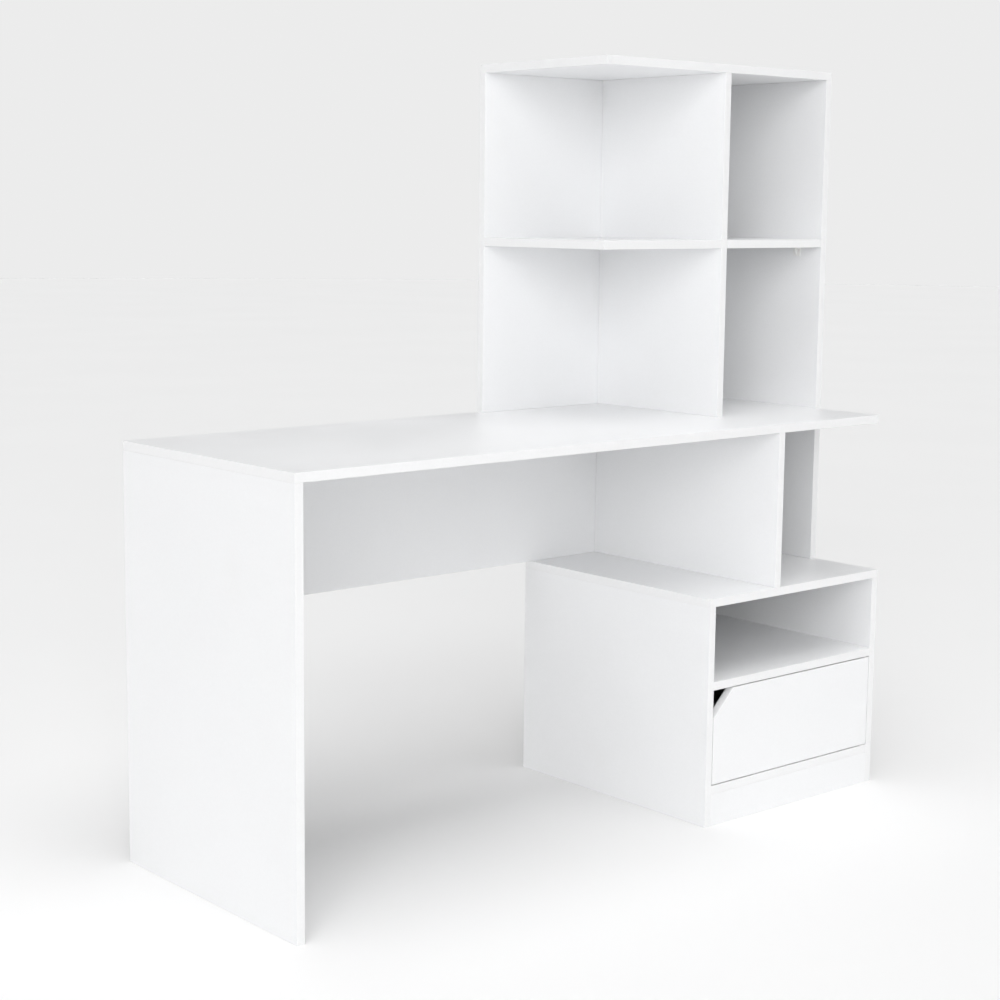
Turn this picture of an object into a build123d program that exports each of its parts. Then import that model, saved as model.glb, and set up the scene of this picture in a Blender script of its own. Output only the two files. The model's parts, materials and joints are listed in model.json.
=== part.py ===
"""Corner desk with a side cabinet and a hutch, made of white-faced board. Millimetres, +Z up.

The origin is on the floor, midway between the two ends and midway between front and back.
+X runs towards the cabinet, and +Y towards the wall behind the desk.
"""

import os
from collections import namedtuple

from build123d import *

# Overall sizes
WIDTH = 1426.0
DEPTH = 510.0
DESK_HEIGHT = 750.0
BOARD = 16.0
EDGE_RADIUS = 0.6

# Cabinet under the right end
CABINET_WIDTH = 492.0
CABINET_HEIGHT = 437.0
CABINET_SHELF_UNDERSIDE = 262.0
PLINTH_HEIGHT = 62.0
BACK_SHEET = 3.0
GROOVE_WIDTH = 3.4
GROOVE_DEPTH = 5.0
GROOVE_SETBACK = 10.0
GROOVE_PLAY = 0.3

# Hutch on top
HUTCH_WIDTH = 626.0
HUTCH_DEPTH = 350.0
TALL_SIDE_LENGTH = 970.0
COLUMN_WIDTH = 280.0
HUTCH_SHELF_UNDERSIDE = 1076.0
SHELF_PLAY = 1.0

# Door, hung on two upright pivot pins near its right edge
DOOR_GAP = 2.0
FINGER_CUT = 52.0
PIVOT_INSET = 10.0
PIVOT_SETBACK = 6.0
PIN_DIAMETER = 5.0
PIN_IN_DOOR = 10.0
PIN_IN_BUSH = 7.0
PIN_RUNNING_CLEARANCE = 0.08
BUSH_DIAMETER = 8.8
BUSH_DEPTH = 9.0
BUSH_FLANGE_DIAMETER = 11.0
BUSH_FLANGE = 1.2

# Magnetic catch at the free edge of the door
CATCH_HEIGHT = 108.0
CATCH_SIZE = (15.0, 30.0, 28.0)
CATCH_GAP = 0.3
STRIKE_SIZE = (13.0, 1.5, 32.0)
CATCH_SCREW_DIAMETER = 3.0
CATCH_SCREW_HEAD = 6.0
CATCH_SCREW_GRIP = 8.0

# Shelf supports
PEG_DIAMETER = 5.0
PEG_IN_BOARD = 8.0
PEG_INSET = 62.0
PEG_BRACKET = (9.0, 18.0, 18.0)
PEG_WALL = 2.0
PEG_TAB = 3.0

# Dowels, cam bolts and cams
FIT = 0.2
DOWEL_DIAMETER = 8.0
FACE_HOLE_DEPTH = 10.0
END_HOLE_DEPTH = 20.0
BOLT_THREAD = 6.0
BOLT_SHANK = 7.0
BOLT_NECK = 4.0
BOLT_BORE = 8.0
CAM_DISTANCE = 24.0
CAM_DIAMETER = 15.0
CAM_POCKET_DEPTH = 12.4
CAM_RECESS = 0.2
CAM_THROAT = 7.6
BOLT_HEAD_LENGTH = 5.0
DRIVER_SLOT = (8.0, 1.6, 2.5)

# Positions that follow from the sizes
LEFT = -WIDTH / 2
RIGHT = WIDTH / 2
FRONT = -DEPTH / 2
BACK = DEPTH / 2
BACK_PANEL_FACE = BACK - BOARD
UNDER_TOP = DESK_HEIGHT - BOARD
TALL_SIDE_FACE = RIGHT - BOARD
DIVIDER_RIGHT = TALL_SIDE_FACE - COLUMN_WIDTH
DIVIDER_LEFT = DIVIDER_RIGHT - BOARD
HUTCH_LEFT = RIGHT - HUTCH_WIDTH
HUTCH_FRONT = BACK - HUTCH_DEPTH
HUTCH_UNDERSIDE = CABINET_HEIGHT + TALL_SIDE_LENGTH
CABINET_LEFT = RIGHT - CABINET_WIDTH
CABINET_INNER_LEFT = CABINET_LEFT + BOARD
CABINET_UNDER_TOP = CABINET_HEIGHT - BOARD
CABINET_INNER_BACK = BACK - GROOVE_SETBACK - BACK_SHEET
CABINET_SHELF_TOP = CABINET_SHELF_UNDERSIDE + BOARD
CABINET_FLOOR_TOP = PLINTH_HEIGHT + BOARD
REAR_PLINTH_FACE = CABINET_INNER_BACK - BOARD
DOOR_LEFT = CABINET_INNER_LEFT + DOOR_GAP
DOOR_RIGHT = TALL_SIDE_FACE - DOOR_GAP
DOOR_BOTTOM = CABINET_FLOOR_TOP + DOOR_GAP
DOOR_TOP = CABINET_SHELF_UNDERSIDE - DOOR_GAP
DOOR_BACK = FRONT + BOARD
PIVOT_X = DOOR_RIGHT - PIVOT_INSET
PIVOT_Y = FRONT + PIVOT_SETBACK
END_MID = LEFT + BOARD / 2
DIVIDER_MID = DIVIDER_LEFT + BOARD / 2
TALL_SIDE_MID = TALL_SIDE_FACE + BOARD / 2
CABINET_LEFT_MID = CABINET_LEFT + BOARD / 2
BACK_MID = BACK_PANEL_FACE + BOARD / 2
HUTCH_SHELF_MID = HUTCH_SHELF_UNDERSIDE + BOARD / 2

UP = Vector(0, 0, 1)
DOWN = Vector(0, 0, -1)
RIGHTWARD = Vector(1, 0, 0)
LEFTWARD = Vector(-1, 0, 0)
BACKWARD = Vector(0, 1, 0)

# A seam is where one board's end meets another board's face. It holds dowels and cam bolts,
# at the given fractions of its length. The bolts point along `into`, and the cams that pull
# them in lie in the end board, open to the face that `cam_face` points out of.
Seam = namedtuple("Seam", "face_board end_board into cam_face start finish dowels cams")

SEAMS = [
    # Worktop and the upright boards under it
    Seam("worktop", "left_end_panel", UP, RIGHTWARD,
         (END_MID, FRONT, UNDER_TOP), (END_MID, BACK, UNDER_TOP), (0.06, 0.5, 0.94), (0.15, 0.85)),
    Seam("worktop", "modesty_panel", UP, BACKWARD,
         (LEFT + BOARD, BACK_MID, UNDER_TOP), (TALL_SIDE_FACE, BACK_MID, UNDER_TOP),
         (0.05, 0.35, 0.65, 0.95), (0.2, 0.5, 0.8)),
    Seam("worktop", "lower_divider", UP, RIGHTWARD,
         (DIVIDER_MID, FRONT, UNDER_TOP), (DIVIDER_MID, BACK_PANEL_FACE, UNDER_TOP),
         (0.06, 0.5, 0.93), (0.15, 0.8)),
    Seam("tall_side_panel", "worktop", RIGHTWARD, DOWN,
         (TALL_SIDE_FACE, HUTCH_FRONT, UNDER_TOP + BOARD / 2),
         (TALL_SIDE_FACE, BACK, UNDER_TOP + BOARD / 2), (0.12, 0.5, 0.9), (0.3, 0.7)),
    # Modesty panel and lower divider
    Seam("left_end_panel", "modesty_panel", LEFTWARD, BACKWARD,
         (LEFT + BOARD, BACK_MID, CABINET_HEIGHT), (LEFT + BOARD, BACK_MID, UNDER_TOP),
         (0.1, 0.9), (0.25, 0.75)),
    Seam("tall_side_panel", "modesty_panel", RIGHTWARD, BACKWARD,
         (TALL_SIDE_FACE, BACK_MID, CABINET_HEIGHT), (TALL_SIDE_FACE, BACK_MID, UNDER_TOP),
         (0.1, 0.9), (0.25, 0.75)),
    Seam("cabinet_top", "modesty_panel", DOWN, BACKWARD,
         (CABINET_LEFT, BACK_MID, CABINET_HEIGHT), (TALL_SIDE_FACE, BACK_MID, CABINET_HEIGHT),
         (0.1, 0.6), (0.3, 0.85)),
    Seam("cabinet_top", "lower_divider", DOWN, RIGHTWARD,
         (DIVIDER_MID, FRONT, CABINET_HEIGHT), (DIVIDER_MID, BACK_PANEL_FACE, CABINET_HEIGHT),
         (0.06, 0.5, 0.93), (0.15, 0.8)),
    Seam("modesty_panel", "lower_divider", BACKWARD, None,
         (DIVIDER_MID, BACK_PANEL_FACE, CABINET_HEIGHT), (DIVIDER_MID, BACK_PANEL_FACE, UNDER_TOP),
         (0.2, 0.5, 0.8), ()),
    Seam("cabinet_top", "tall_side_panel", DOWN, LEFTWARD,
         (TALL_SIDE_MID, HUTCH_FRONT, CABINET_HEIGHT), (TALL_SIDE_MID, BACK, CABINET_HEIGHT),
         (0.1, 0.5, 0.92), (0.35, 0.75)),
    # Hutch
    Seam("worktop", "hutch_back_panel", DOWN, BACKWARD,
         (HUTCH_LEFT, BACK_MID, DESK_HEIGHT), (TALL_SIDE_FACE, BACK_MID, DESK_HEIGHT),
         (0.06, 0.45, 0.8), (0.15, 0.95)),
    Seam("worktop", "hutch_divider", DOWN, RIGHTWARD,
         (DIVIDER_MID, HUTCH_FRONT, DESK_HEIGHT), (DIVIDER_MID, BACK_PANEL_FACE, DESK_HEIGHT),
         (0.08, 0.5, 0.97), (0.2, 0.8)),
    Seam("tall_side_panel", "hutch_back_panel", RIGHTWARD, BACKWARD,
         (TALL_SIDE_FACE, BACK_MID, DESK_HEIGHT), (TALL_SIDE_FACE, BACK_MID, HUTCH_UNDERSIDE),
         (0.05, 0.5, 0.95), (0.15, 0.85)),
    Seam("hutch_back_panel", "hutch_divider", BACKWARD, None,
         (DIVIDER_MID, BACK_PANEL_FACE, DESK_HEIGHT), (DIVIDER_MID, BACK_PANEL_FACE, HUTCH_UNDERSIDE),
         (0.1, 0.3, 0.7, 0.9), ()),
    Seam("hutch_divider", "corner_shelf", RIGHTWARD, DOWN,
         (DIVIDER_LEFT, HUTCH_FRONT, HUTCH_SHELF_MID), (DIVIDER_LEFT, BACK_PANEL_FACE, HUTCH_SHELF_MID),
         (0.15, 0.85), (0.35, 0.65)),
    Seam("hutch_back_panel", "corner_shelf", BACKWARD, DOWN,
         (HUTCH_LEFT, BACK_PANEL_FACE, HUTCH_SHELF_MID), (DIVIDER_LEFT, BACK_PANEL_FACE, HUTCH_SHELF_MID),
         (0.15, 0.85), (0.35, 0.65)),
    Seam("hutch_top", "hutch_back_panel", UP, BACKWARD,
         (HUTCH_LEFT, BACK_MID, HUTCH_UNDERSIDE), (TALL_SIDE_FACE, BACK_MID, HUTCH_UNDERSIDE),
         (0.06, 0.35, 0.9), (0.15, 0.75)),
    Seam("hutch_top", "hutch_divider", UP, RIGHTWARD,
         (DIVIDER_MID, HUTCH_FRONT, HUTCH_UNDERSIDE), (DIVIDER_MID, BACK_PANEL_FACE, HUTCH_UNDERSIDE),
         (0.08, 0.5, 0.92), (0.2, 0.75)),
    Seam("hutch_top", "tall_side_panel", UP, LEFTWARD,
         (TALL_SIDE_MID, HUTCH_FRONT, HUTCH_UNDERSIDE), (TALL_SIDE_MID, BACK, HUTCH_UNDERSIDE),
         (0.1, 0.5, 0.94), (0.8,)),
    # Cabinet
    Seam("cabinet_top", "cabinet_left_side", UP, RIGHTWARD,
         (CABINET_LEFT_MID, FRONT, CABINET_UNDER_TOP), (CABINET_LEFT_MID, BACK, CABINET_UNDER_TOP),
         (0.06, 0.5, 0.94), (0.15, 0.85)),
    Seam("cabinet_top", "cabinet_right_side", UP, LEFTWARD,
         (TALL_SIDE_MID, FRONT, CABINET_UNDER_TOP), (TALL_SIDE_MID, BACK, CABINET_UNDER_TOP),
         (0.06, 0.25, 0.45, 0.7), (0.9,)),
]

# Each level board of the cabinet is held between its two sides.
for level_board, underside in [("cabinet_shelf", CABINET_SHELF_UNDERSIDE), ("cabinet_floor", PLINTH_HEIGHT)]:
    for side, into, x in [("cabinet_left_side", LEFTWARD, CABINET_INNER_LEFT),
                          ("cabinet_right_side", RIGHTWARD, TALL_SIDE_FACE)]:
        SEAMS.append(Seam(side, level_board, into, DOWN, (x, FRONT, underside + BOARD / 2),
                          (x, CABINET_INNER_BACK, underside + BOARD / 2), (0.08, 0.5), (0.2, 0.85)))

# Each plinth board is dowelled to the two sides and to the cabinet's floor.
for plinth, face in [("front_plinth", FRONT), ("rear_plinth", REAR_PLINTH_FACE)]:
    middle = face + BOARD / 2
    for side, into, x in [("cabinet_left_side", LEFTWARD, CABINET_INNER_LEFT),
                          ("cabinet_right_side", RIGHTWARD, TALL_SIDE_FACE)]:
        SEAMS.append(Seam(side, plinth, into, None, (x, middle, 0), (x, middle, PLINTH_HEIGHT),
                          (0.3, 0.7), ()))
    SEAMS.append(Seam("cabinet_floor", plinth, UP, None, (CABINET_INNER_LEFT, middle, PLINTH_HEIGHT),
                      (TALL_SIDE_FACE, middle, PLINTH_HEIGHT), (0.25, 0.75), ()))


def places(seam, fractions):
    """Points on a seam's line, at the given fractions of its length."""
    start = Vector(*seam.start)
    run = Vector(*seam.finish) - start
    return [start + run * fraction for fraction in fractions]


def rod(start, direction, diameter, length, mode=Mode.ADD):
    """A round bar from a point, in a direction. With Mode.SUBTRACT it is a drilled hole."""
    with BuildSketch(Plane(origin=start, z_dir=direction)) as section:
        Circle(diameter / 2)
    extrude(section.sketch, amount=length, mode=mode)


def drill(start, direction, diameter, depth):
    rod(start, direction, diameter, depth, Mode.SUBTRACT)


def slab(x, y, z, mode=Mode.ADD):
    """A square-edged block between three pairs of limits."""
    with BuildSketch(Plane.XY.offset(z[0])) as outline:
        with Locations(((x[0] + x[1]) / 2, (y[0] + y[1]) / 2)):
            Rectangle(x[1] - x[0], y[1] - y[0])
    extrude(outline.sketch, amount=z[1] - z[0], mode=mode)


def board(name, x, y, z):
    """A board with slightly rounded edges, drilled for every seam that it takes part in."""
    with BuildPart() as made:
        slab(x, y, z)
        fillet(made.edges(), EDGE_RADIUS)
        drill_seams(name)
    return made


def drill_seams(name):
    for seam in SEAMS:
        if seam.face_board == name:
            for place in places(seam, seam.dowels):
                drill(place, seam.into, DOWEL_DIAMETER + FIT, FACE_HOLE_DEPTH)
            for place in places(seam, seam.cams):
                drill(place, seam.into, BOLT_THREAD + FIT, FACE_HOLE_DEPTH)
        if seam.end_board == name:
            for place in places(seam, seam.dowels):
                drill(place, -seam.into, DOWEL_DIAMETER + FIT, END_HOLE_DEPTH)
            for place in places(seam, seam.cams):
                drill(place, -seam.into, BOLT_BORE, CAM_DISTANCE)
                drill(cam_mouth(seam, place), -seam.cam_face, CAM_DIAMETER + FIT, CAM_POCKET_DEPTH)


def cam_mouth(seam, place):
    """The middle of a cam's pocket, on the face of the board that it is sunk into."""
    return place - seam.into * CAM_DISTANCE + seam.cam_face * (BOARD / 2)


def save(piece, label):
    piece.part.label = label
    export_step(piece.part, f"parts/{label}.step")


os.makedirs("parts", exist_ok=True)

# Boards that are plain rectangles: limits in X, Y and Z
PLAIN_BOARDS = {
    "worktop": ((LEFT, TALL_SIDE_FACE), (FRONT, BACK), (UNDER_TOP, DESK_HEIGHT)),
    "left_end_panel": ((LEFT, LEFT + BOARD), (FRONT, BACK), (0, UNDER_TOP)),
    "modesty_panel": ((LEFT + BOARD, TALL_SIDE_FACE), (BACK_PANEL_FACE, BACK), (CABINET_HEIGHT, UNDER_TOP)),
    "lower_divider": ((DIVIDER_LEFT, DIVIDER_RIGHT), (FRONT, BACK_PANEL_FACE), (CABINET_HEIGHT, UNDER_TOP)),
    "hutch_back_panel": ((HUTCH_LEFT, TALL_SIDE_FACE), (BACK_PANEL_FACE, BACK),
                         (DESK_HEIGHT, HUTCH_UNDERSIDE)),
    "hutch_top": ((HUTCH_LEFT, RIGHT), (HUTCH_FRONT, BACK), (HUTCH_UNDERSIDE, HUTCH_UNDERSIDE + BOARD)),
    "corner_shelf": ((HUTCH_LEFT, DIVIDER_LEFT), (HUTCH_FRONT, BACK_PANEL_FACE),
                     (HUTCH_SHELF_UNDERSIDE, HUTCH_SHELF_UNDERSIDE + BOARD)),
    "column_shelf": ((DIVIDER_RIGHT + SHELF_PLAY, TALL_SIDE_FACE - SHELF_PLAY),
                     (HUTCH_FRONT, BACK_PANEL_FACE - SHELF_PLAY),
                     (HUTCH_SHELF_UNDERSIDE, HUTCH_SHELF_UNDERSIDE + BOARD)),
    "cabinet_top": ((CABINET_LEFT, RIGHT), (FRONT, BACK), (CABINET_UNDER_TOP, CABINET_HEIGHT)),
    "front_plinth": ((CABINET_INNER_LEFT, TALL_SIDE_FACE), (FRONT, FRONT + BOARD), (0, PLINTH_HEIGHT)),
    "rear_plinth": ((CABINET_INNER_LEFT, TALL_SIDE_FACE), (REAR_PLINTH_FACE, CABINET_INNER_BACK),
                    (0, PLINTH_HEIGHT)),
}
for name, limits in PLAIN_BOARDS.items():
    save(board(name, *limits), name)


# Uprights that hold the loose shelf of the hutch's right column on pegs
PEG_Y = (HUTCH_FRONT + PEG_INSET, BACK_PANEL_FACE - PEG_INSET)
PEG_Z = HUTCH_SHELF_UNDERSIDE - PEG_BRACKET[2] / 2

with BuildPart() as hutch_divider:
    slab((DIVIDER_LEFT, DIVIDER_RIGHT), (HUTCH_FRONT, BACK_PANEL_FACE), (DESK_HEIGHT, HUTCH_UNDERSIDE))
    fillet(hutch_divider.edges(), EDGE_RADIUS)
    drill_seams("hutch_divider")
    for y in PEG_Y:
        drill((DIVIDER_RIGHT, y, PEG_Z), LEFTWARD, PEG_DIAMETER + FIT, PEG_IN_BOARD)
save(hutch_divider, "hutch_divider")

with BuildPart() as tall_side_panel:
    slab((TALL_SIDE_FACE, RIGHT), (HUTCH_FRONT, BACK), (CABINET_HEIGHT, HUTCH_UNDERSIDE))
    fillet(tall_side_panel.edges(), EDGE_RADIUS)
    drill_seams("tall_side_panel")
    for y in PEG_Y:
        drill((TALL_SIDE_FACE, y, PEG_Z), RIGHTWARD, PEG_DIAMETER + FIT, PEG_IN_BOARD)
save(tall_side_panel, "tall_side_panel")


# Cabinet sides, each grooved near its back edge for the back sheet
GROOVE_FRONT = CABINET_INNER_BACK
CATCH_TOP = CATCH_HEIGHT + CATCH_SIZE[2]
CATCH_FRONT = DOOR_BACK + STRIKE_SIZE[1] + CATCH_GAP
CATCH_SCREW_Y = CATCH_FRONT + CATCH_SIZE[1] - CATCH_SCREW_HEAD
CATCH_SCREW_Z = (CATCH_HEIGHT + CATCH_SCREW_HEAD, CATCH_TOP - CATCH_SCREW_HEAD)

with BuildPart() as cabinet_left_side:
    slab((CABINET_LEFT, CABINET_INNER_LEFT), (FRONT, BACK), (0, CABINET_UNDER_TOP))
    fillet(cabinet_left_side.edges(), EDGE_RADIUS)
    slab((CABINET_INNER_LEFT - GROOVE_DEPTH, CABINET_INNER_LEFT), (GROOVE_FRONT, GROOVE_FRONT + GROOVE_WIDTH),
         (0, CABINET_UNDER_TOP), Mode.SUBTRACT)
    drill_seams("cabinet_left_side")
    for z in CATCH_SCREW_Z:
        drill((CABINET_INNER_LEFT, CATCH_SCREW_Y, z), LEFTWARD, CATCH_SCREW_DIAMETER + FIT, CATCH_SCREW_GRIP)
save(cabinet_left_side, "cabinet_left_side")

with BuildPart() as cabinet_right_side:
    slab((TALL_SIDE_FACE, RIGHT), (FRONT, BACK), (0, CABINET_UNDER_TOP))
    fillet(cabinet_right_side.edges(), EDGE_RADIUS)
    slab((TALL_SIDE_FACE, TALL_SIDE_FACE + GROOVE_DEPTH), (GROOVE_FRONT, GROOVE_FRONT + GROOVE_WIDTH),
         (0, CABINET_UNDER_TOP), Mode.SUBTRACT)
    drill_seams("cabinet_right_side")
save(cabinet_right_side, "cabinet_right_side")

with BuildPart() as cabinet_back:
    slab((CABINET_INNER_LEFT - GROOVE_DEPTH + GROOVE_PLAY, TALL_SIDE_FACE + GROOVE_DEPTH - GROOVE_PLAY),
         (GROOVE_FRONT, GROOVE_FRONT + BACK_SHEET), (PLINTH_HEIGHT, CABINET_UNDER_TOP))
save(cabinet_back, "cabinet_back")


# Cabinet shelf and floor, each with a socket for one of the door's pivot bushes
with BuildPart() as cabinet_shelf:
    slab((CABINET_INNER_LEFT, TALL_SIDE_FACE), (FRONT, CABINET_INNER_BACK),
         (CABINET_SHELF_UNDERSIDE, CABINET_SHELF_TOP))
    fillet(cabinet_shelf.edges(), EDGE_RADIUS)
    drill_seams("cabinet_shelf")
    drill((PIVOT_X, PIVOT_Y, CABINET_SHELF_UNDERSIDE), UP, BUSH_DIAMETER + FIT, BUSH_DEPTH)
save(cabinet_shelf, "cabinet_shelf")

with BuildPart() as cabinet_floor:
    slab((CABINET_INNER_LEFT, TALL_SIDE_FACE), (FRONT, CABINET_INNER_BACK),
         (PLINTH_HEIGHT, CABINET_FLOOR_TOP))
    fillet(cabinet_floor.edges(), EDGE_RADIUS)
    drill_seams("cabinet_floor")
    drill((PIVOT_X, PIVOT_Y, CABINET_FLOOR_TOP), DOWN, BUSH_DIAMETER + FIT, BUSH_DEPTH)
save(cabinet_floor, "cabinet_floor")


# Door: its top left corner is cut off at 45 degrees, so that fingers reach behind it
STRIKE_X = DOOR_LEFT + 1.0
STRIKE_Z = CATCH_HEIGHT + CATCH_SIZE[2] / 2 - STRIKE_SIZE[2] / 2
STRIKE_SCREW = (STRIKE_X + STRIKE_SIZE[0] / 2, DOOR_BACK, STRIKE_Z + STRIKE_SIZE[2] / 2)

with BuildPart() as door:
    with BuildSketch(Plane.XZ.offset(-DOOR_BACK)):
        with BuildLine():
            Polyline(
                (DOOR_LEFT, DOOR_BOTTOM),
                (DOOR_RIGHT, DOOR_BOTTOM),
                (DOOR_RIGHT, DOOR_TOP),
                (DOOR_LEFT + FINGER_CUT, DOOR_TOP),
                (DOOR_LEFT, DOOR_TOP - FINGER_CUT),
                close=True,
            )
        make_face()
    extrude(amount=BOARD)
    fillet(door.edges(), EDGE_RADIUS)
    drill((PIVOT_X, PIVOT_Y, DOOR_TOP), DOWN, PIN_DIAMETER + FIT, PIN_IN_DOOR)
    drill((PIVOT_X, PIVOT_Y, DOOR_BOTTOM), UP, PIN_DIAMETER + FIT, PIN_IN_DOOR)
    drill(STRIKE_SCREW, -BACKWARD, CATCH_SCREW_DIAMETER + FIT, CATCH_SCREW_GRIP)
save(door, "door")

PIN_LENGTH = PIN_IN_DOOR + DOOR_GAP + PIN_IN_BUSH
with BuildPart() as door_pivot_pins:
    rod((PIVOT_X, PIVOT_Y, DOOR_TOP - PIN_IN_DOOR), UP, PIN_DIAMETER, PIN_LENGTH)
    rod((PIVOT_X, PIVOT_Y, DOOR_BOTTOM + PIN_IN_DOOR), DOWN, PIN_DIAMETER, PIN_LENGTH)
save(door_pivot_pins, "door_pivot_pins")

with BuildPart() as door_pivot_bushes:
    for seat, inward in [(CABINET_SHELF_UNDERSIDE, UP), (CABINET_FLOOR_TOP, DOWN)]:
        mouth = Vector(PIVOT_X, PIVOT_Y, seat)
        rod(mouth, inward, BUSH_DIAMETER, BUSH_DEPTH)
        rod(mouth, -inward, BUSH_FLANGE_DIAMETER, BUSH_FLANGE)
        drill(mouth - inward * BUSH_FLANGE, inward, PIN_DIAMETER + 2 * PIN_RUNNING_CLEARANCE,
              BUSH_FLANGE + BUSH_DEPTH)
save(door_pivot_bushes, "door_pivot_bushes")


# Magnetic catch on the cabinet's left side, and the steel strike plate on the door
with BuildPart() as magnetic_catch:
    slab((CABINET_INNER_LEFT, CABINET_INNER_LEFT + CATCH_SIZE[0]), (CATCH_FRONT, CATCH_FRONT + CATCH_SIZE[1]),
         (CATCH_HEIGHT, CATCH_TOP))
    fillet(magnetic_catch.edges().filter_by(Axis.X), 3.0)
    for z in CATCH_SCREW_Z:
        drill((CABINET_INNER_LEFT + CATCH_SIZE[0], CATCH_SCREW_Y, z), LEFTWARD,
              CATCH_SCREW_DIAMETER + FIT, CATCH_SIZE[0])
        drill((CABINET_INNER_LEFT + CATCH_SIZE[0], CATCH_SCREW_Y, z), LEFTWARD, CATCH_SCREW_HEAD + FIT, 2.0)
save(magnetic_catch, "magnetic_catch")

with BuildPart() as catch_screws:
    for z in CATCH_SCREW_Z:
        head = Vector(CABINET_INNER_LEFT + CATCH_SIZE[0] - 2.0, CATCH_SCREW_Y, z)
        rod(head, RIGHTWARD, CATCH_SCREW_HEAD, 1.8)
        rod(head, LEFTWARD, CATCH_SCREW_DIAMETER, CATCH_SIZE[0] - 2.0 + CATCH_SCREW_GRIP)
save(catch_screws, "catch_screws")

with BuildPart() as strike_plate:
    slab((STRIKE_X, STRIKE_X + STRIKE_SIZE[0]), (DOOR_BACK, DOOR_BACK + STRIKE_SIZE[1]),
         (STRIKE_Z, STRIKE_Z + STRIKE_SIZE[2]))
    fillet(strike_plate.edges().filter_by(Axis.Y), 2.0)
    drill(STRIKE_SCREW, BACKWARD, CATCH_SCREW_DIAMETER + FIT, STRIKE_SIZE[1])
    drill(Vector(*STRIKE_SCREW) + BACKWARD * STRIKE_SIZE[1], -BACKWARD, CATCH_SCREW_HEAD + FIT, 1.0)
save(strike_plate, "strike_plate")

with BuildPart() as strike_screw:
    seat = Vector(*STRIKE_SCREW) + BACKWARD * 0.5
    rod(seat, BACKWARD, CATCH_SCREW_HEAD, 0.8)
    rod(seat, -BACKWARD, CATCH_SCREW_DIAMETER, 0.5 + CATCH_SCREW_GRIP)
save(strike_screw, "strike_screw")


# Four pegs carry the loose shelf: a pin in the upright, a plate on its face, a tab and a rib
PEG_BOTTOM = HUTCH_SHELF_UNDERSIDE - PEG_BRACKET[2]
PEG_TAB_UNDERSIDE = HUTCH_SHELF_UNDERSIDE - PEG_TAB

with BuildPart() as shelf_supports:
    for face, inward in [(DIVIDER_RIGHT, RIGHTWARD), (TALL_SIDE_FACE, LEFTWARD)]:
        plate_end = face + inward.X * PEG_WALL
        tab_end = face + inward.X * PEG_BRACKET[0]
        for y in PEG_Y:
            width = (y - PEG_BRACKET[1] / 2, y + PEG_BRACKET[1] / 2)
            rod((face, y, PEG_Z), -inward, PEG_DIAMETER, PEG_IN_BOARD)
            slab(sorted((face, plate_end)), width, (PEG_BOTTOM, HUTCH_SHELF_UNDERSIDE))
            slab(sorted((face, tab_end)), width, (PEG_TAB_UNDERSIDE, HUTCH_SHELF_UNDERSIDE))
            with BuildSketch(Plane.XZ.offset(-y - PEG_WALL / 2)):
                with BuildLine():
                    Polyline((face, PEG_BOTTOM), (plate_end, PEG_BOTTOM), (tab_end, PEG_TAB_UNDERSIDE),
                             (face, PEG_TAB_UNDERSIDE), close=True)
                make_face()
            extrude(amount=PEG_WALL)
save(shelf_supports, "shelf_supports")


# Dowels, cam bolts and cams in every seam
with BuildPart() as wood_dowels:
    for seam in SEAMS:
        for place in places(seam, seam.dowels):
            tip = place + seam.into * FACE_HOLE_DEPTH
            rod(tip, -seam.into, DOWEL_DIAMETER, FACE_HOLE_DEPTH + END_HOLE_DEPTH - 1.0)
save(wood_dowels, "wood_dowels")

SHANK_LENGTH = CAM_DISTANCE - CAM_DIAMETER / 2 - 1.0
NECK_LENGTH = CAM_DISTANCE - BOLT_HEAD_LENGTH / 2 - SHANK_LENGTH
with BuildPart() as cam_bolts:
    for seam in SEAMS:
        for place in places(seam, seam.cams):
            rod(place, seam.into, BOLT_THREAD, FACE_HOLE_DEPTH)
            rod(place, -seam.into, BOLT_SHANK, SHANK_LENGTH)
            neck = place - seam.into * SHANK_LENGTH
            rod(neck, -seam.into, BOLT_NECK, NECK_LENGTH)
            rod(neck - seam.into * NECK_LENGTH, -seam.into, BOLT_SHANK, BOLT_HEAD_LENGTH)
save(cam_bolts, "cam_bolts")

with BuildPart() as cams:
    for seam in SEAMS:
        for place in places(seam, seam.cams):
            face = cam_mouth(seam, place) - seam.cam_face * CAM_RECESS
            rod(face, -seam.cam_face, CAM_DIAMETER, CAM_POCKET_DEPTH - CAM_RECESS)
            throat = place - seam.into * (CAM_DISTANCE - CAM_DIAMETER / 2)
            drill(throat, -seam.into, CAM_THROAT, CAM_DIAMETER / 2 + BOLT_HEAD_LENGTH)
            with BuildSketch(Plane(origin=face, x_dir=seam.into, z_dir=-seam.cam_face)):
                Rectangle(DRIVER_SLOT[0], DRIVER_SLOT[1], rotation=45)
                Rectangle(DRIVER_SLOT[0], DRIVER_SLOT[1], rotation=-45)
            extrude(amount=DRIVER_SLOT[2], mode=Mode.SUBTRACT)
save(cams, "cams")
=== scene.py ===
"""The looks of the corner desk: white melamine board with edge bands, on a plain pale floor.

Metres, in the frame of the CAD model: origin on the floor, +X towards the cabinet, +Y to the wall.
"""

import json
import math

import bpy
from mathutils import Matrix, Vector


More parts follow.
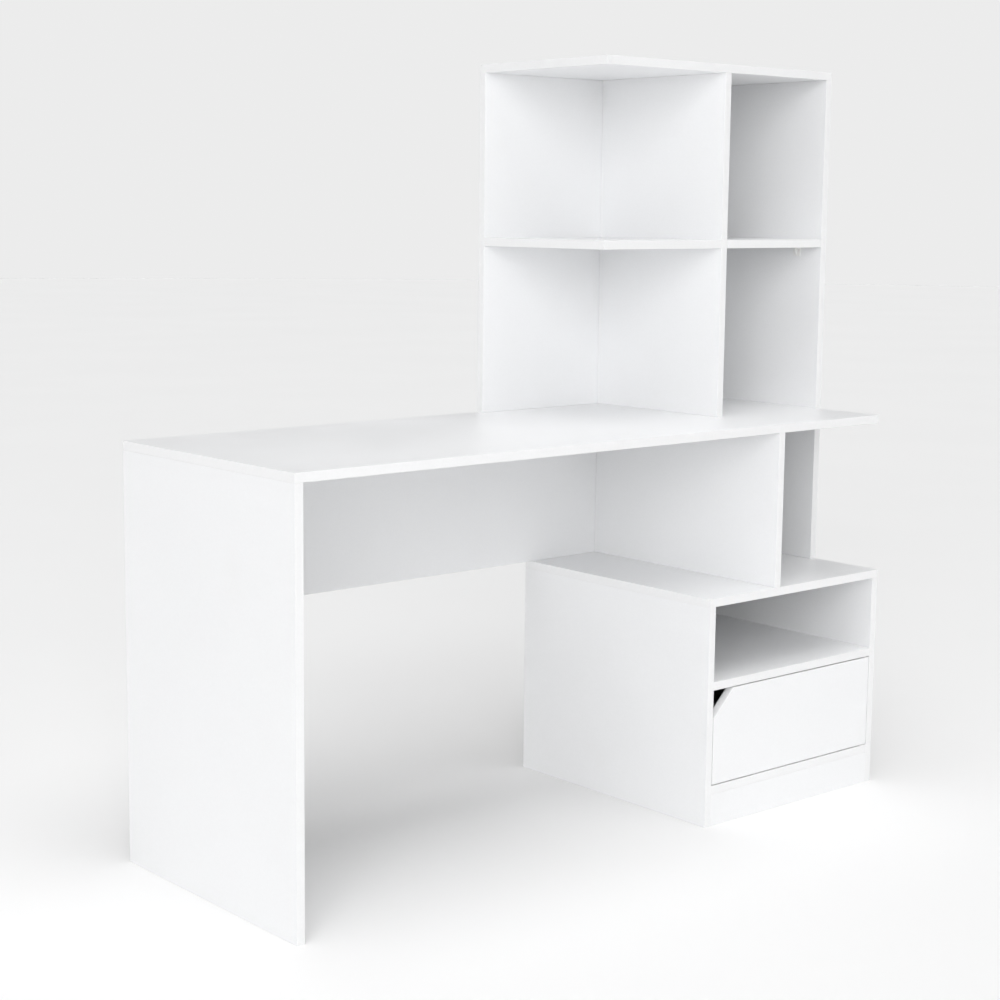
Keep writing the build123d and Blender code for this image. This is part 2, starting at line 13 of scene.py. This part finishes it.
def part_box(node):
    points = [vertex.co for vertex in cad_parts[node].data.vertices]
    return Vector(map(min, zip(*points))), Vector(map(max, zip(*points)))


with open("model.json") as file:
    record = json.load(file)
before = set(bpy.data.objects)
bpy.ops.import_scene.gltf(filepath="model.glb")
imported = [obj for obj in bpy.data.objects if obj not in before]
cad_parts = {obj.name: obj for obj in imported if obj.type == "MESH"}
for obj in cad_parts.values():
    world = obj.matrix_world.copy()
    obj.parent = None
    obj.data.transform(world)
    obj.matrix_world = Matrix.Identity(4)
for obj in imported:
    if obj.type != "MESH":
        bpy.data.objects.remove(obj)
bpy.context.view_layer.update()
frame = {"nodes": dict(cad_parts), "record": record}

MM = 0.001


# ---------------------------------------------------------------- shader nodes

def new_material(name):
    """A material with a Principled shader, and helpers to add and join nodes."""
    material = bpy.data.materials.new(name)
    material.use_nodes = True
    tree = material.node_tree
    return material, tree, tree.nodes["Principled BSDF"]


def add(tree, kind, **settings):
    node = tree.nodes.new(kind)
    for key, value in settings.items():
        setattr(node, key, value)
    return node


def feed(tree, socket, value):
    """Joins a socket to another node's output, or sets it to a constant."""
    if isinstance(value, bpy.types.NodeSocket):
        tree.links.new(value, socket)
    else:
        socket.default_value = value


def calc(tree, operation, a, b=0.0, c=0.0, clamp=False):
    node = add(tree, "ShaderNodeMath", operation=operation, use_clamp=clamp)
    for socket, value in zip(node.inputs, (a, b, c)):
        feed(tree, socket, value)
    return node.outputs[0]


def vector_calc(tree, operation, a, b=(0, 0, 0)):
    node = add(tree, "ShaderNodeVectorMath", operation=operation)
    feed(tree, node.inputs[0], a)
    feed(tree, node.inputs[1], b)
    return node.outputs[0]


def ramp(tree, value, low, high, out_low=0.0, out_high=1.0):
    """Runs smoothly from out_low to out_high as value goes from low to high."""
    node = add(tree, "ShaderNodeMapRange", interpolation_type="SMOOTHSTEP")
    for socket, number in zip(node.inputs, (value, low, high, out_low, out_high)):
        feed(tree, socket, number)
    return node.outputs[0]


def noise(tree, where, scale, detail=2.0, roughness=0.5, distortion=0.0):
    node = add(tree, "ShaderNodeTexNoise")
    feed(tree, node.inputs["Vector"], where)
    feed(tree, node.inputs["Scale"], scale)
    feed(tree, node.inputs["Detail"], detail)
    feed(tree, node.inputs["Roughness"], roughness)
    feed(tree, node.inputs["Distortion"], distortion)
    return node.outputs[0]


def stretched(tree, where, scale):
    node = add(tree, "ShaderNodeMapping")
    feed(tree, node.inputs["Vector"], where)
    feed(tree, node.inputs["Scale"], scale)
    return node.outputs[0]


def blend_colour(tree, factor, a, b, how="MIX"):
    node = add(tree, "ShaderNodeMix", data_type="RGBA", blend_type=how)
    feed(tree, node.inputs["Factor"], factor)
    feed(tree, node.inputs["A"], a)
    feed(tree, node.inputs["B"], b)
    return node.outputs["Result"]


def bump(tree, height, distance, strength=1.0, below=None):
    node = add(tree, "ShaderNodeBump")
    feed(tree, node.inputs["Height"], height)
    feed(tree, node.inputs["Distance"], distance)
    feed(tree, node.inputs["Strength"], strength)
    if below is not None:
        feed(tree, node.inputs["Normal"], below)
    return node.outputs[0]


# ---------------------------------------------------------------- materials

FACE_WHITE = (0.896, 0.901, 0.910, 1)
BAND_WHITE = (0.882, 0.885, 0.890, 1)
GLUE_LINE = (0.72, 0.71, 0.70, 1)
GLUE_SHOWS = 0.45
DUST = (0.85, 0.845, 0.835, 1)
BAND_THICKNESS = 0.5 * MM
BAND_GLOSS = 0.07
DUST_SHOWS = 0.16
GLUE_HALF_WIDTH = 0.12 * MM
FAR_AWAY = 9.0


def melamine(name, low, high, face_white=FACE_WHITE):
    """White melamine on the two broad faces of the board between two corners, and a smoother
    plastic band round its edges, whose glue line shows just inside each border of a face."""
    material, tree, shader = new_material(name)
    place = add(tree, "ShaderNodeTexCoord")
    where = place.outputs["Object"]

    sizes = [high[i] - low[i] for i in range(3)]
    thin = sizes.index(min(sizes))
    normal = add(tree, "ShaderNodeSeparateXYZ")
    feed(tree, normal.inputs[0], place.outputs["Normal"])
    on_face = ramp(tree, calc(tree, "ABSOLUTE", normal.outputs[thin]), 0.80, 0.97)

    # Distance inwards from the nearest border of the face. Across the board it never counts.
    middle = [(low[i] + high[i]) / 2 for i in range(3)]
    half = [FAR_AWAY if i == thin else sizes[i] / 2 for i in range(3)]
    inwards = vector_calc(tree, "SUBTRACT", half,
                          vector_calc(tree, "ABSOLUTE", vector_calc(tree, "SUBTRACT", where, middle)))
    split = add(tree, "ShaderNodeSeparateXYZ")
    feed(tree, split.inputs[0], inwards)
    border = calc(tree, "MINIMUM", split.outputs[0], split.outputs[1])
    border = calc(tree, "MINIMUM", border, split.outputs[2])
    off_line = calc(tree, "ABSOLUTE", calc(tree, "SUBTRACT", border, BAND_THICKNESS))
    glue = calc(tree, "MULTIPLY", ramp(tree, off_line, 0.0, GLUE_HALF_WIDTH, 1.0, 0.0), on_face)

    # Broad, faint shades, as from handling and board pressing
    clouds = noise(tree, where, 3.5, detail=3.0)
    specks = noise(tree, where, 260.0, detail=2.0, roughness=0.6)
    handled = calc(tree, "MULTIPLY", ramp(tree, noise(tree, where, 9.0, detail=4.0), 0.56, 0.80), DUST_SHOWS)
    colour = blend_colour(tree, on_face, BAND_WHITE, face_white)
    colour = blend_colour(tree, handled, colour, DUST)
    shade = calc(tree, "ADD", ramp(tree, clouds, 0.3, 0.7, 0.985, 1.0),
                 ramp(tree, specks, 0.35, 0.65, -0.006, 0.006))
    colour = vector_calc(tree, "SCALE", colour)
    feed(tree, colour.node.inputs["Scale"], shade)
    colour = blend_colour(tree, calc(tree, "MULTIPLY", glue, GLUE_SHOWS), colour, GLUE_LINE)
    feed(tree, shader.inputs["Base Color"], colour)

    # Satin sheen, a little uneven; the band is glossier
    satin = ramp(tree, clouds, 0.3, 0.7, 0.38, 0.47)
    wiping = noise(tree, stretched(tree, where, (1.0, 6.0, 1.0)), 22.0, detail=5.0)
    wiped = ramp(tree, wiping, 0.40, 0.62, -0.025, 0.025)
    gloss = calc(tree, "SUBTRACT", calc(tree, "ADD", satin, wiped), calc(tree, "MULTIPLY",
                 calc(tree, "SUBTRACT", 1.0, on_face), BAND_GLOSS))
    feed(tree, shader.inputs["Roughness"], gloss)
    shader.inputs["Specular IOR Level"].default_value = 0.45

    # Pearl embossing of the face, planing chatter along the band, and the groove of the glue line
    pearl = bump(tree, noise(tree, where, 620.0, detail=2.0, roughness=0.55), 0.045 * MM, 0.5)
    along = [2500.0 if i == thin else 60.0 for i in range(3)]
    chatter = calc(tree, "MULTIPLY", noise(tree, stretched(tree, where, along), 1.0, detail=2.0),
                   calc(tree, "SUBTRACT", 1.0, on_face))
    ridges = bump(tree, chatter, 0.03 * MM, 0.6, pearl)
    groove = bump(tree, calc(tree, "MULTIPLY", glue, -1.0), 0.06 * MM, 0.7, ridges)
    feed(tree, shader.inputs["Normal"], groove)
    return material


def painted_sheet():
    """Thin hardboard with a rolled white coat, through which its fibres show faintly."""
    material, tree, shader = new_material("painted_sheet")
    where = add(tree, "ShaderNodeTexCoord").outputs["Object"]
    fibres = noise(tree, stretched(tree, where, (90.0, 90.0, 700.0)), 1.0, detail=6.0, roughness=0.7)
    clouds = noise(tree, where, 6.0, detail=3.0)
    colour = blend_colour(tree, ramp(tree, fibres, 0.35, 0.7),
                          (0.76, 0.76, 0.76, 1), (0.71, 0.705, 0.69, 1))
    colour = blend_colour(tree, ramp(tree, clouds, 0.45, 0.75, 0.0, 0.35), colour, (0.70, 0.695, 0.68, 1))
    feed(tree, shader.inputs["Base Color"], colour)
    feed(tree, shader.inputs["Roughness"], ramp(tree, fibres, 0.3, 0.7, 0.55, 0.68))
    feed(tree, shader.inputs["Normal"], bump(tree, fibres, 0.08 * MM, 0.6))
    return material


def nylon():
    """White moulded nylon, slightly translucent, with the fine grain of its mould."""
    material, tree, shader = new_material("white_nylon")
    where = add(tree, "ShaderNodeTexCoord").outputs["Object"]
    grain = noise(tree, where, 1500.0, detail=3.0)
    flow = noise(tree, where, 90.0, detail=2.0, distortion=1.2)
    feed(tree, shader.inputs["Base Color"],
         blend_colour(tree, ramp(tree, flow, 0.35, 0.7), (0.91, 0.91, 0.90, 1), (0.87, 0.87, 0.855, 1)))
    feed(tree, shader.inputs["Roughness"], ramp(tree, grain, 0.3, 0.7, 0.36, 0.50))
    shader.inputs["Subsurface Weight"].default_value = 0.12
    shader.inputs["Subsurface Radius"].default_value = (1.2 * MM, 1.0 * MM, 0.8 * MM)
    feed(tree, shader.inputs["Normal"], bump(tree, grain, 0.02 * MM, 0.5))
    return material


def metal(name, bright, dull, smooth, rough, cell):
    """A plated or cast metal: a base tone with duller spangles, and roughness that follows them."""
    material, tree, shader = new_material(name)
    where = add(tree, "ShaderNodeTexCoord").outputs["Object"]
    spangles = noise(tree, where, cell, detail=4.0, roughness=0.6, distortion=0.6)
    scratches = noise(tree, stretched(tree, where, (400.0, 400.0, 4000.0)), 1.0, detail=3.0)
    feed(tree, shader.inputs["Base Color"],
         blend_colour(tree, ramp(tree, spangles, 0.35, 0.65), bright, dull))
    feed(tree, shader.inputs["Roughness"], ramp(tree, spangles, 0.3, 0.7, smooth, rough))
    shader.inputs["Metallic"].default_value = 1.0
    feed(tree, shader.inputs["Normal"], bump(tree, calc(tree, "ADD", spangles, scratches), 0.02 * MM, 0.4))
    return material


def beech():
    """Turned beech rod, with pale grain and short dark rays."""
    material, tree, shader = new_material("beech")
    where = add(tree, "ShaderNodeTexCoord").outputs["Object"]
    grain = noise(tree, stretched(tree, where, (900.0, 900.0, 120.0)), 1.0, detail=5.0, roughness=0.65)
    rays = noise(tree, stretched(tree, where, (2400.0, 2400.0, 300.0)), 1.0, detail=2.0)
    colour = blend_colour(tree, ramp(tree, grain, 0.35, 0.65), (0.62, 0.43, 0.25, 1), (0.50, 0.32, 0.17, 1))
    colour = blend_colour(tree, ramp(tree, rays, 0.58, 0.68, 0.0, 0.4), colour, (0.33, 0.19, 0.09, 1))
    feed(tree, shader.inputs["Base Color"], colour)
    feed(tree, shader.inputs["Roughness"], ramp(tree, grain, 0.3, 0.7, 0.55, 0.7))
    feed(tree, shader.inputs["Normal"], bump(tree, grain, 0.05 * MM, 0.6))
    return material


# ---------------------------------------------------------------- materials onto the CAD nodes

SHARED = {
    "back_sheet": painted_sheet(),
    "white_nylon": nylon(),
    "zinc_steel": metal("zinc_steel", (0.66, 0.67, 0.70, 1), (0.54, 0.56, 0.60, 1), 0.26, 0.42, 500.0),
    "cast_zinc": metal("cast_zinc", (0.58, 0.59, 0.61, 1), (0.46, 0.47, 0.49, 1), 0.38, 0.58, 900.0),
    "beech": beech(),
}
SLOT_OF = {part["node"]: part["material_slot"] for part in frame["record"]["subparts"]}


def dress(node, material):
    node.data.materials.clear()
    node.data.materials.append(material)


for name, node in frame["nodes"].items():
    slot = SLOT_OF[name]
    if slot in SHARED:
        dress(node, SHARED[slot])
    else:
        dress(node, melamine("melamine_" + name, *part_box(name)))


# ---------------------------------------------------------------- floor, light and camera

def pale_floor():
    material, tree, shader = new_material("pale_floor")
    where = add(tree, "ShaderNodeTexCoord").outputs["Object"]
    clouds = noise(tree, where, 0.8, detail=3.0)
    feed(tree, shader.inputs["Base Color"],
         blend_colour(tree, ramp(tree, clouds, 0.3, 0.7), (0.90, 0.90, 0.90, 1), (0.89, 0.89, 0.89, 1)))
    feed(tree, shader.inputs["Roughness"], ramp(tree, clouds, 0.3, 0.7, 0.85, 0.95))
    shader.inputs["Specular IOR Level"].default_value = 0.1
    return material


scene = bpy.context.scene
scene.view_settings.view_transform = "Standard"


def staged(name, points, faces, material):
    """A mesh of the studio, which isn't part of the object."""
    mesh = bpy.data.meshes.new(name)
    mesh.from_pydata(points, [], faces)
    mesh.materials.append(material)
    sheet = bpy.data.objects.new(name, mesh)
    scene.collection.objects.link(sheet)
    return sheet


FLOOR_REACH = 30.0
staged("floor", [(-FLOOR_REACH, -FLOOR_REACH, 0), (FLOOR_REACH, -FLOOR_REACH, 0),
                 (FLOOR_REACH, FLOOR_REACH, 0), (-FLOOR_REACH, FLOOR_REACH, 0)],
       [(0, 1, 2, 3)], pale_floor())

# The surround gives a dim, even light, so that the lamps shape the object
AMBIENT = 0.29
# What the lit floor sends back, so that the backdrop meets it without a horizon
FLOOR_GLOW = 0.84
scene.world = bpy.data.worlds.new("studio")
scene.world.use_nodes = True
sky = scene.world.node_tree.nodes["Background"]
sky.inputs["Color"].default_value = (1.0, 1.0, 1.0, 1)
sky.inputs["Strength"].default_value = AMBIENT


BACKDROP_RADIUS = 28.0
BACKDROP_FOOT = -0.5
BACKDROP_RINGS = 12
BACKDROP_SEGMENTS = 48


def dome():
    """A pale half sphere round the studio. It shows, but neither lights nor shades the object."""
    points = []
    for ring in range(BACKDROP_RINGS):
        height = math.pi / 2 * ring / BACKDROP_RINGS
        for step in range(BACKDROP_SEGMENTS):
            angle = 2 * math.pi * step / BACKDROP_SEGMENTS
            points.append((BACKDROP_RADIUS * math.cos(height) * math.cos(angle),
                           BACKDROP_RADIUS * math.cos(height) * math.sin(angle),
                           BACKDROP_FOOT + BACKDROP_RADIUS * math.sin(height)))
    points.append((0.0, 0.0, BACKDROP_FOOT + BACKDROP_RADIUS))
    faces = []
    for ring in range(BACKDROP_RINGS - 1):
        for step in range(BACKDROP_SEGMENTS):
            here = ring * BACKDROP_SEGMENTS + step
            beside = ring * BACKDROP_SEGMENTS + (step + 1) % BACKDROP_SEGMENTS
            faces.append((here, beside, beside + BACKDROP_SEGMENTS, here + BACKDROP_SEGMENTS))
    last = (BACKDROP_RINGS - 1) * BACKDROP_SEGMENTS
    for step in range(BACKDROP_SEGMENTS):
        faces.append((last + step, last + (step + 1) % BACKDROP_SEGMENTS, len(points) - 1))
    material, _, shader = new_material("backdrop_white")
    shader.inputs["Base Color"].default_value = (0, 0, 0, 1)
    shader.inputs["Specular IOR Level"].default_value = 0.0
    shader.inputs["Emission Color"].default_value = (1, 1, 1, 1)
    shader.inputs["Emission Strength"].default_value = FLOOR_GLOW
    backdrop = staged("backdrop", points, faces, material)
    backdrop.visible_diffuse = False
    backdrop.visible_glossy = False
    backdrop.visible_transmission = False
    backdrop.visible_shadow = False


dome()


def far_lamp(name, towards, share, spread):
    """A far, wide lamp in a direction. A surface that faces it gets `share` of full white."""
    lamp = bpy.data.lights.new(name, "SUN")
    lamp.energy = math.pi * share
    lamp.angle = math.radians(spread)
    holder = bpy.data.objects.new(name, lamp)
    scene.collection.objects.link(holder)
    holder.rotation_euler = (-Vector(towards)).to_track_quat("-Z", "Y").to_euler()


def softbox(name, place, aim, size, watts):
    """A square lamp near the object, which fades with distance."""
    lamp = bpy.data.lights.new(name, "AREA")
    lamp.size = size
    lamp.energy = watts
    holder = bpy.data.objects.new(name, lamp)
    scene.collection.objects.link(holder)
    holder.location = place
    holder.rotation_euler = (Vector(aim) - Vector(place)).to_track_quat("-Z", "Y").to_euler()


far_lamp("front", (-0.66, -0.72, 0.25), 0.37, 40.0)
far_lamp("top", (-0.1, -0.2, 1.0), 0.59, 60.0)
softbox("left_box", (-2.4, -1.9, 2.0), (0.3, 0.1, 0.9), 1.8, 15.0)

# The camera's axis: turned to the right of +Y, and tipped down
CAMERA_PLACE = Vector((-2.3813, -2.6239, 1.1483))
CAMERA_YAW = math.radians(-40.09)
CAMERA_PITCH = math.radians(8.248)
CAMERA_ROLL = math.radians(0.443)
SENSOR = 36.0
FOCAL_SHARE = 1.92531
camera = bpy.data.cameras.new("camera")
camera.sensor_width = SENSOR
camera.lens = FOCAL_SHARE * SENSOR
camera.shift_x = 0.0407
camera.shift_y = -0.0125
viewer = bpy.data.objects.new("camera", camera)
scene.collection.objects.link(viewer)
turn = Matrix.Rotation(CAMERA_YAW, 4, "Z") @ Matrix.Rotation(math.pi / 2 - CAMERA_PITCH, 4, "X")
viewer.matrix_world = Matrix.Translation(CAMERA_PLACE) @ turn @ Matrix.Rotation(CAMERA_ROLL, 4, "Z")
scene.camera = viewer
